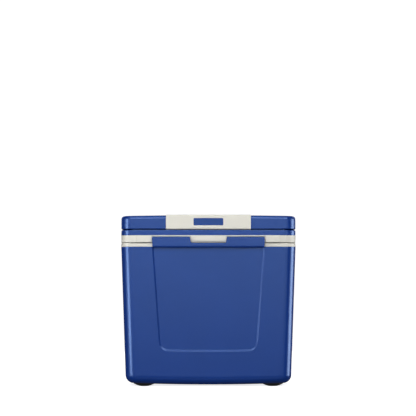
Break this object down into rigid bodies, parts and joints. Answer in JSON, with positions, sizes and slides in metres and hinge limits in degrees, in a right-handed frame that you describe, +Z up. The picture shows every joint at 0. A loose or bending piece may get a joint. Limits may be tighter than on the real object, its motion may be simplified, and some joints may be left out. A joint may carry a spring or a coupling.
{
  "type": "vaccine carrier",
  "caption": "Insulated box with a drafted body on rubber feet, a hinged plug lid, a swing bail nested round the lid, a drop latch, cold packs and a vial sponge.",
  "frame": {"origin": "on the floor, under the middle of the body", "axes": "+Z up, the latch faces -Y, +X to the right when facing the latch"},
  "size_m": [0.34, 0.279, 0.3335],
  "materials": {
    "blue_shell": "semi-gloss moulded",
    "badge_blue": "gloss, bare",
    "cream_plastic": "semi-gloss moulded",
    "white_liner": "smooth",
    "rigid_foam": "closed-cell foam",
    "sponge": "open-cell foam",
    "steel": "satin",
    "foot_rubber": "matte",
    "gasket_rubber": "matte",
    "hinge_nylon": "satin",
    "bush_nylon": "satin",
    "pack_body": "translucent look",
    "pack_cap": "satin"
  },
  "bodies": {
    "carrier": {"outer_shell": "blue_shell", "body_foam_core": "rigid_foam", "inner_liner": "white_liner", "rim_collar": "cream_plastic", "latch_pin": "steel", "foot_screws": "steel", "hinge_body_screws": "steel", "vial_sponge": "sponge", "foot_front_left": "foot_rubber", "foot_front_right": "foot_rubber", "foot_rear_left": "foot_rubber", "foot_rear_right": "foot_rubber", "hinge_lower_leaf_left": "hinge_nylon", "hinge_lower_leaf_right": "hinge_nylon", "hinge_pin_left": "steel", "hinge_pin_right": "steel", "cold_pack_front_left": "pack_body", "cold_pack_front_right": "pack_body", "cold_pack_rear_left": "pack_body", "cold_pack_rear_right": "pack_body", "cold_pack_left": "pack_body", "cold_pack_right": "pack_body", "cold_pack_cap_front_left": "pack_cap", "cold_pack_cap_front_right": "pack_cap", "cold_pack_cap_rear_left": "pack_cap", "cold_pack_cap_rear_right": "pack_cap", "cold_pack_cap_left": "pack_cap", "cold_pack_cap_right": "pack_cap"},
    "lid": {"lid_shell": "blue_shell", "lid_frame": "cream_plastic", "latch_bezel": "cream_plastic", "lid_foam_core": "rigid_foam", "lid_liner": "white_liner", "lid_gasket": "gasket_rubber", "hinge_lid_screws": "steel", "bail_pivot_pin_left": "steel", "bail_pivot_pin_right": "steel", "hinge_upper_leaf_left": "hinge_nylon", "hinge_upper_leaf_right": "hinge_nylon"},
    "bail": {"bail_frame": "blue_shell", "bail_grip": "cream_plastic", "grip_badge": "badge_blue", "bail_bush_left": "bush_nylon", "bail_bush_right": "bush_nylon"},
    "latch": {"latch_flap": "blue_shell"}
  },
  "joints": [
    {"name": "lid_hinge", "type": "hinge", "parent": "carrier", "child": "lid", "pos_m": [0, 0.135, 0.27885], "axis": [-1, 0, 0], "range_deg": [0, 105]},
    {"name": "bail_swing", "type": "hinge", "parent": "lid", "child": "bail", "pos_m": [0, 0, 0.3185], "axis": [-1, 0, 0], "range_deg": [0, 90]},
    {"name": "latch_drop", "type": "hinge", "parent": "carrier", "child": "latch", "pos_m": [0, -0.1355, 0.273], "axis": [1, 0, 0], "range_deg": [0, 90]}
  ]
}
